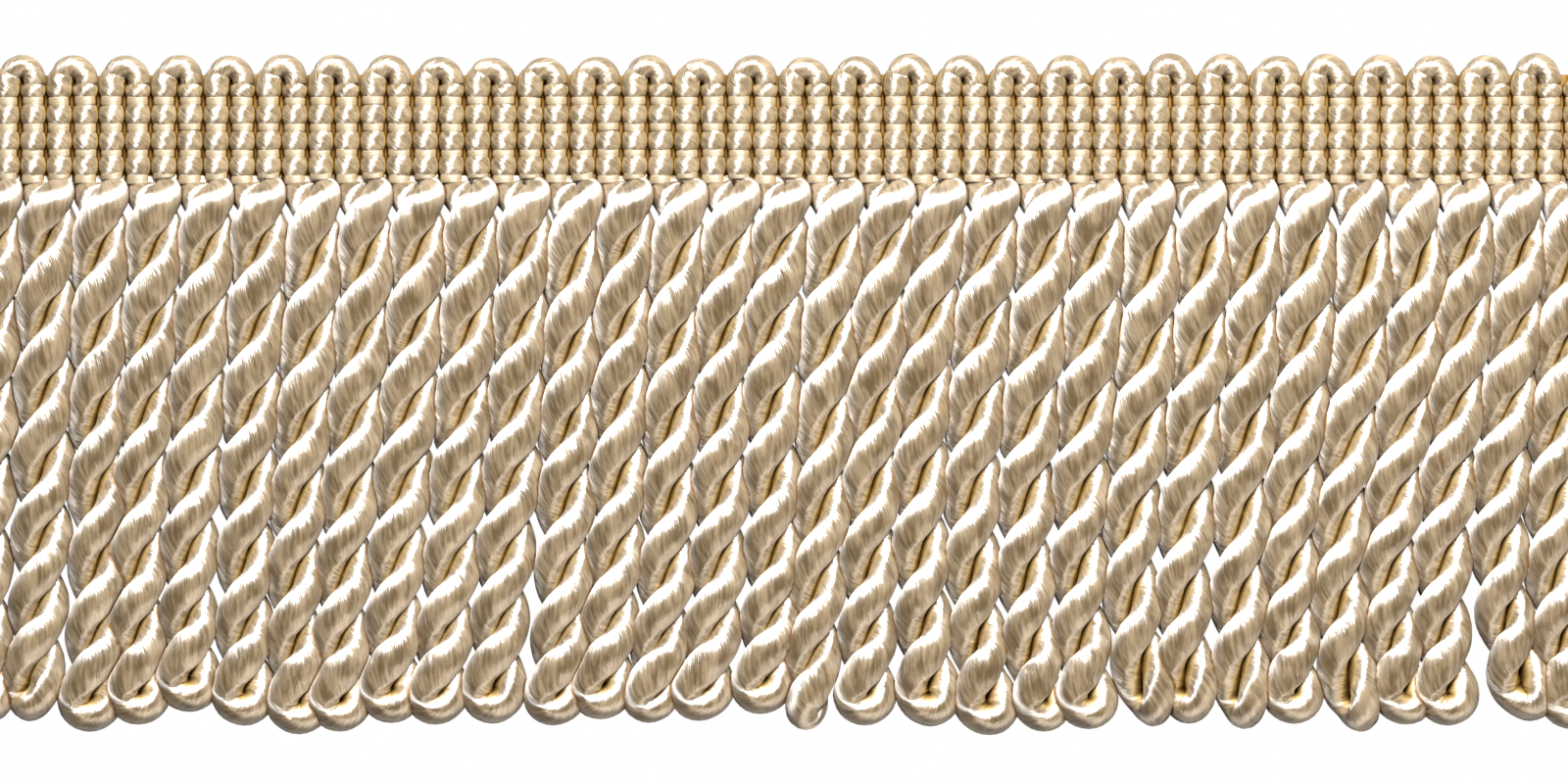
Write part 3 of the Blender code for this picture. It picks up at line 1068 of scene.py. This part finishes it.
@dataclass
class BindingWraps:
    """The rows of binding yarn: a flat band round every rib, in four rows."""

    lie: Lie
    finish: bpy.types.Material
    loops: HeadingLoops
    half_width: float = 1.17 * MM
    half_depth: float = 1.12 * MM
    band_half: float = 0.54 * MM
    band_thickness: float = 0.3 * MM
    foot_stagger: float = 0.25 * MM
    closure: float = 0.985  # share of a full turn that a band makes
    ring_power: float = 0.7  # below 1 a ring is flatter in front and behind than an oval
    band_power: float = 0.6  # below 1 a band is flatter, with round edges
    pattern_length: float = 8.4 * MM  # of the fibre pattern round a band
    ring_steps: int = 30
    band_steps: int = 10
    unevenness: float = 0.1 * MM
    wander: tuple[float, ...] = (0.5, 1.0, 0.2)  # shares of the unevenness along X, Y and Z
    tilt: tuple[float, ...] = (0.03, 0.02, 0.07)  # radians, either way
    smallest: tuple[float, ...] = (0.96, 0.86, 0.96)
    largest: tuple[float, ...] = (1.03, 1.12, 1.03)
    seed: int = 3
    tilt_seed: int = 11
    size_seed: int = 12

    def build(self) -> bpy.types.Object:
        """Makes all wraps as one piece.

        Returns:
            The piece.
        """
        points = []
        for rib in range(2 * len(BULLIONS)):
            for row, height in enumerate(self.loops.row_heights):
                stagger = self.foot_stagger * (1 if rib % 2 else -1) if row == 0 else 0.0
                points.append((self.lie.rib_x(rib), self.lie.foot + height + stagger, self.loops.height))
        base = bpy.data.meshes.new("wrap_places")
        base.from_pydata(points, [], [])
        sizes = {
            "Half width": self.half_width,
            "Half depth": self.half_depth,
            "Band half": self.band_half,
            "Band thickness": self.band_thickness,
            "Unevenness": self.unevenness,
        }
        kinds = {"Places": "Geometry", **dict.fromkeys(sizes, "Float"), "Seed": "Int", "Finish": "Material"}
        group = new_group("wrapped_band", "GeometryNodeTree", kinds, {"Wraps": "Geometry"})
        t = NodeTree(group)
        given = t.add("NodeGroupInput").outputs
        self._spread(t, given, self._band(t, given, self._ring(t, given)))
        return realised("binding_wraps", base, group, {**sizes, "Seed": self.seed, "Finish": self.finish})

    def _ring(self, t: NodeTree, given: bpy.types.NodeOutputs) -> Socket:
        """Adds an open ring in the XZ plane, whose two ends nearly meet at the back.

        Args:
            t: the tree.
            given: its inputs.

        Returns:
            The ring's curve.
        """
        line = t.add("GeometryNodeCurvePrimitiveLine", {"Start": (0, 0, 0), "End": (1, 0, 0)}).outputs[0]
        line = t.add("GeometryNodeResampleCurve", {"Curve": line, "Count": self.ring_steps}).outputs[0]
        share = t.add("GeometryNodeSplineParameter").outputs["Factor"]
        angle = t.math("MULTIPLY_ADD", share, 2 * math.pi * self.closure, -math.pi * self.closure)
        sine, cosine = t.math("SINE", angle), t.math("COSINE", angle)
        x = t.math("MULTIPLY", sine, given["Half width"])
        z = t.math("MULTIPLY", t.signed_power(cosine, self.ring_power), given["Half depth"])
        place = t.add("ShaderNodeCombineXYZ", {"X": x, "Z": z}).outputs[0]
        ring = t.moved(line, "Position", place)
        ring = t.store(ring, "along", t.math("MULTIPLY", share, self.pattern_length))
        ring = t.store(ring, "hub", place, "FLOAT_VECTOR")
        outward = t.add("ShaderNodeCombineXYZ", {"X": sine, "Z": cosine}).outputs[0]
        return t.store(ring, "outward", outward, "FLOAT_VECTOR")

    def _band(self, t: NodeTree, given: bpy.types.NodeOutputs, ring: Socket) -> Socket:
        """Adds the flat band along a ring.

        Args:
            t: the tree.
            given: its inputs.
            ring: the ring's curve.

        Returns:
            The band's mesh.
        """
        band, around = t.tube(ring, self.band_steps)
        outward = t.read("outward", "FLOAT_VECTOR")
        out = t.math("MULTIPLY", t.math("SINE", around), t.math("MULTIPLY", given["Band thickness"], 0.5))
        square = t.signed_power(t.math("COSINE", around), self.band_power)
        up = t.add("ShaderNodeCombineXYZ", {"Y": t.math("MULTIPLY", square, given["Band half"])})
        skin = t.vector_math("ADD", t.read("hub", "FLOAT_VECTOR"), t.scaled(outward, out))
        band = t.moved(band, "Position", t.vector_math("ADD", skin, up.outputs[0]))
        side = t.math("ABSOLUTE", t.add("ShaderNodeSeparateXYZ", {0: outward}).outputs["X"])
        # The band's ends, where it turns round the rib's sides, get painted shade.
        band = t.store(band, "fold", t.smooth_step(side, 0.8, 1.0))
        return t.add("GeometryNodeSetShadeSmooth", {"Geometry": band}).outputs["Geometry"]

    def _spread(self, t: NodeTree, given: bpy.types.NodeOutputs, band: Socket) -> None:
        """Puts a band on every place, each one a little off, tilted and stretched.

        Args:
            t: the tree.
            given: its inputs.
            band: the band's mesh.
        """
        low = t.scaled([-share for share in self.wander], given["Unevenness"])
        high = t.scaled(self.wander, given["Unevenness"])
        places = t.moved(given["Places"], "Offset", t.random_vector(low, high, given["Seed"]))
        tilt = t.random_vector([-angle for angle in self.tilt], self.tilt, self.tilt_seed)
        size = t.random_vector(self.smallest, self.largest, self.size_seed)
        put = {"Points": places, "Instance": band, "Rotation": tilt, "Scale": size}
        wraps = t.add("GeometryNodeInstanceOnPoints", put).outputs["Instances"]
        t.hand_over("Wraps", wraps, given["Finish"])


class FibreGroup:
    """Shader group that lays fibres at an angle to a cord: their height, tone and pulled lines."""

    def __init__(self) -> None:
        """Builds the group once for all finishes."""
        inputs = {"UV": "Vector", "Lay angle": "Float", "Bundle width": "Float", "Bundle length": "Float"}
        outputs = dict.fromkeys(("Height", "Tone", "Pulled"), "Float")
        self.group = new_group("laid_fibres", "ShaderNodeTree", inputs, outputs)
        t = NodeTree(self.group)
        given = t.add("NodeGroupInput").outputs
        laid = {"Vector": given["UV"], "Angle": given["Lay angle"]}
        turned = t.add("ShaderNodeVectorRotate", laid, rotation_type="Z_AXIS").outputs[0]
        size = {"X": given["Bundle length"], "Y": given["Bundle width"], "Z": 1.0}
        bundles = t.vector_math("DIVIDE", turned, t.add("ShaderNodeCombineXYZ", size).outputs[0])
        coarse = self._noise(t, bundles, (1.0, 1.0, 1.0), 2.0)
        fine = self._noise(t, bundles, (0.9, 3.1, 1.0), 1.0)
        sweep = self._noise(t, bundles, (0.35, 0.28, 1.0), 0.0)
        clump = self._noise(t, bundles, (0.6, 0.42, 1.0), 0.0)
        height = t.math("MULTIPLY_ADD", fine, 0.3, t.math("MULTIPLY", coarse, 0.6))
        height = t.math("MULTIPLY_ADD", clump, 0.9, height)
        tone = t.math("MULTIPLY_ADD", sweep, 0.4, t.math("MULTIPLY", coarse, 0.6))
        pulled = t.smooth_step(self._noise(t, bundles, (0.5, 1.8, 1.0), 0.0), 0.32, 0.24)
        t.add("NodeGroupOutput", {"Height": height, "Tone": tone, "Pulled": pulled})

    @staticmethod
    def _noise(t: NodeTree, where: Socket, stretch: tuple[float, ...], detail: float) -> Socket:
        """Adds flat noise on stretched coordinates and returns its value."""
        sample = {"Vector": t.vector_math("MULTIPLY", where, stretch), "Scale": 1.0, "Detail": detail}
        return t.add("ShaderNodeTexNoise", sample, noise_dimensions="2D").outputs[0]


@dataclass(frozen=True)
class SatinFinish:
    """A satin yarn: fibres laid at an angle, a bright sheen across them, and painted shade in its folds and
    seams.
    """

    name: str
    light: Rgb
    shade: Rgb
    # fold is painted warm shade in a fold, deep is the painted shade at a fold's bottom and also the colour
    # of the pulled lines, and seam is painted shade where two cords touch.
    fold: Rgb
    deep: Rgb  # the darkest part of a fold
    lay_angle: float  # radians from the cord's length to its fibres
    seam: Rgb = (0.24, 0.135, 0.05)  # where two cords touch
    bundle_width: float = 0.3 * MM
    bundle_length: float = 2.0 * MM
    relief: float = 0.13 * MM
    roughness: float = 0.46
    anisotropy: float = 0.95
    specular: float = 1.0
    index: float = 2.3
    sheen: Rgb = (1.0, 0.965, 0.93)

    def build(self, fibres: FibreGroup) -> bpy.types.Material:
        """Makes the material.

        Args:
            fibres: the shared fibre group.

        Returns:
            The material.
        """
        material = bpy.data.materials.new(self.name)
        material.use_nodes = True
        t = NodeTree(material.node_tree)
        bundles = {
            "UV": t.add("ShaderNodeUVMap", uv_map=FIBRE_UV).outputs[0],
            "Lay angle": self.lay_angle,
            "Bundle width": self.bundle_width,
            "Bundle length": self.bundle_length,
        }
        laid = t.add("ShaderNodeGroup", bundles, node_tree=fibres.group)
        marks = ("fold", "seam")
        fold, seam = (t.add("ShaderNodeAttribute", attribute_name=mark).outputs["Fac"] for mark in marks)
        # Deep in a fold or a seam, where the colour is painted shade, the sheen dies out and what is left
        # takes that painted colour.
        hidden = t.math("MAXIMUM", t.smooth_step(fold, 0.3, 0.9), t.smooth_step(seam, 0.1, 0.8))
        bump = {"Height": laid.outputs["Height"], "Strength": 1.0, "Distance": self.relief}
        tangent = t.add("ShaderNodeTangent", direction_type="UV_MAP", uv_map=FIBRE_UV)
        surface = {
            "Base Color": self._colour(t, laid, fold, seam),
            "Roughness": t.math("MULTIPLY_ADD", hidden, 1.0 - self.roughness, self.roughness),
            "Metallic": hidden,
            "Normal": t.add("ShaderNodeBump", bump).outputs[0],
            "Tangent": tangent.outputs[0],
            "Anisotropic": self.anisotropy,
            "Anisotropic Rotation": (0.25 - self.lay_angle / (2 * math.pi)) % 1.0,
            "Specular IOR Level": self.specular,
            "Specular Tint": (*self.sheen, 1.0),
            "IOR": self.index,
        }
        for key, value in surface.items():
            t.feed(t.tree.nodes["Principled BSDF"].inputs[key], value)
        return material

    def _colour(self, t: NodeTree, laid: bpy.types.Node, fold: Socket, seam: Socket) -> Socket:
        """Adds the nodes that mix the yarn's colours with the painted shade of its folds and seams.

        Args:
            t: the material's tree.
            laid: the node of the fibre group.
            fold: how deep in a fold a point lies.
            seam: how near a neighbour's skin it lies.

        Returns:
            The colour.
        """
        layers = (
            (t.smooth_step(laid.outputs["Tone"], 0.3, 0.7), self.light),
            (t.math("MULTIPLY", laid.outputs["Pulled"], 0.5), self.deep),
            # Painted shade: ochre in the folds, dark brown at their bottoms and brown at the seams.
            (t.smooth_step(fold, 0.0, 0.6), self.fold),
            (t.smooth_step(fold, 0.85, 1.0), self.deep),
            (t.smooth_step(seam, 0.1, 0.8), self.seam),
        )
        colour = (*self.shade, 1.0)
        for share, over in layers:
            mixed = {0: share, 6: colour, 7: (*over, 1.0)}
            colour = t.add("ShaderNodeMix", mixed, data_type="RGBA").outputs[2]
        return colour


CORD_FINISH = SatinFinish(
    name="satin_cord",
    light=(0.24, 0.18, 0.108),
    shade=(0.09, 0.06, 0.026),
    fold=(0.36, 0.235, 0.07),
    deep=(0.13, 0.07, 0.02),
    lay_angle=math.radians(-58),
)
HEADING_FINISH = replace(
    CORD_FINISH,
    name="heading_cord",
    light=(0.25, 0.188, 0.112),
    shade=(0.11, 0.078, 0.04),
    bundle_width=0.24 * MM,
    bundle_length=1.2 * MM,
    index=1.85,
)
BINDING_FINISH = SatinFinish(
    name="binding_yarn",
    light=(0.285, 0.222, 0.135),
    shade=(0.205, 0.155, 0.088),
    fold=(0.28, 0.145, 0.03),
    deep=(0.10, 0.05, 0.01),
    lay_angle=0.0,
    bundle_width=0.16 * MM,
    relief=0.04 * MM,
    roughness=0.5,
    index=1.65,
)
# The web's colours are painted shade: the binding yarn's floats are made the dark ochre brown that the gaps
# between the ribs show.
WEB_SHADE_FINISH = SatinFinish(
    name="web_yarn_painted_shade",
    light=(0.20, 0.11, 0.03),
    shade=(0.09, 0.045, 0.01),
    fold=(0.20, 0.11, 0.03),
    deep=(0.20, 0.11, 0.03),
    lay_angle=math.radians(90),
    bundle_width=0.3 * MM,
    roughness=0.9,
    anisotropy=0.0,
    specular=0.1,
    index=1.3,
)


@dataclass(frozen=True)
class SoftLight:
    """A square studio light that looks at the fringe."""

    name: str
    azimuth: float  # degrees from the heading's side, turning to the right
    height: float  # degrees above the table
    size: float
    power: float
    distance: float = 0.6
    colour: tuple[float, float, float] = (1.0, 1.0, 1.0)

    def build(self, target: Vector) -> None:
        """Puts the light in the scene.

        Args:
            target: what it points at.
        """
        data = bpy.data.lights.new(self.name, "AREA")
        data.shape = "SQUARE"
        data.size = self.size
        data.energy = self.power
        data.color = self.colour
        light = placed(self.name, data)
        turn, rise = math.radians(self.azimuth), math.radians(self.height)
        ahead = self.distance * math.cos(rise)
        place = (ahead * math.sin(turn), ahead * math.cos(turn), self.distance * math.sin(rise))
        light.location = target + Vector(place)
        light.rotation_euler = (target - light.location).to_track_quat("-Z", "Y").to_euler()


@dataclass
class Studio:
    """The white table, the lights and the camera that looks straight down."""

    lie: Lie
    frame_width: float = 176.64 * MM
    # What the camera and the lights look at: right of the middle, below the foot, above the table.
    aim: tuple[float, float, float] = (0.64 * MM, -23.5 * MM, 3 * MM)
    distance: float = 0.62
    sensor: float = 36.0
    lights: tuple[SoftLight, ...] = (
        SoftLight("key", azimuth=13, height=46, size=0.24, power=15.6),
        SoftLight("rim", azimuth=165, height=28, size=0.4, power=2.4, colour=(1.0, 0.87, 0.7)),
    )
    sky: float = 0.03

    def build(self) -> None:
        """Makes the table, the lights, the sky and the camera."""
        right, above_foot, height = self.aim
        target = Vector((right, self.lie.foot + above_foot, height))
        self._table(target)
        for light in self.lights:
            light.build(target)
        world = bpy.data.worlds.new("studio")
        bpy.context.scene.world = world
        world.use_nodes = True
        background = world.node_tree.nodes["Background"]
        background.inputs["Color"].default_value = (1.0, 1.0, 1.0, 1.0)
        background.inputs["Strength"].default_value = self.sky
        camera = bpy.data.cameras.new("camera")
        camera.sensor_width = self.sensor
        camera.lens = self.sensor * self.distance / self.frame_width
        camera.clip_start = 0.01
        view = placed("camera", camera)
        view.location = target + Vector((0, 0, self.distance))
        bpy.context.scene.camera = view
        bpy.context.scene.view_settings.view_transform = "Standard"

    @staticmethod
    def _table(target: Vector) -> None:
        """Makes the white table top.

        Args:
            target: where its middle is.
        """
        bm = bmesh.new()
        bmesh.ops.create_grid(bm, x_segments=1, y_segments=1, size=1.5)
        bmesh.ops.translate(bm, vec=(target.x, target.y, 0.0), verts=bm.verts)
        mesh = bpy.data.meshes.new("table")
        bm.to_mesh(mesh)
        bm.free()
        table = placed("table", mesh)
        material = bpy.data.materials.new("white_table")
        material.use_nodes = True
        shader = material.node_tree.nodes["Principled BSDF"]
        shader.inputs["Base Color"].default_value = (0.25, 0.25, 0.25, 1.0)
        shader.inputs["Roughness"].default_value = 0.9
        # The table looks pure white, as a cut-out does, and throws back only a little light.
        t = NodeTree(material.node_tree)
        seen = t.add("ShaderNodeLightPath").outputs["Is Camera Ray"]
        glow = t.add("ShaderNodeEmission", {"Color": (1.0, 1.0, 1.0, 1.0), "Strength": 1.0}).outputs[0]
        mixed = t.add("ShaderNodeMixShader", {0: seen, 1: shader.outputs[0], 2: glow}).outputs[0]
        t.tree.links.new(mixed, material.node_tree.nodes["Material Output"].inputs["Surface"])
        mesh.materials.append(material)


def report(piece: bpy.types.Object, node: Node) -> None:
    """Ties a finished piece to the frame and logs it.

    Args:
        piece: the piece.
        node: the frame's node that it stands for.
    """
    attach(piece, BODY)
    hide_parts(node.value)
    LOG.info("%s: %d faces", piece.name, len(piece.data.polygons))


def main() -> None:
    """Builds the fringe's looks around the frame."""
    logging.basicConfig(level=logging.INFO)
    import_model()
    lie = Lie.of_frame()
    fibres = FibreGroup()
    cord = CORD_FINISH.build(fibres)
    binding = BINDING_FINISH.build(fibres)
    loom = Loom()
    for piece in BullionCords(lie, loom, cord).build():
        report(piece, Node.SKIRT)
    loops = HeadingLoops(lie, loom, HEADING_FINISH.build(fibres))
    report(loops.build(), Node.HEADING)
    report(BindingWraps(lie, binding, loops).build(), Node.HEADING)
    web = WEB_SHADE_FINISH.build(fibres)
    report(BackingWeb(lie, loom, web).build(), Node.HEADING)
    Studio(lie).build()


if __name__ == "__main__":
    main()
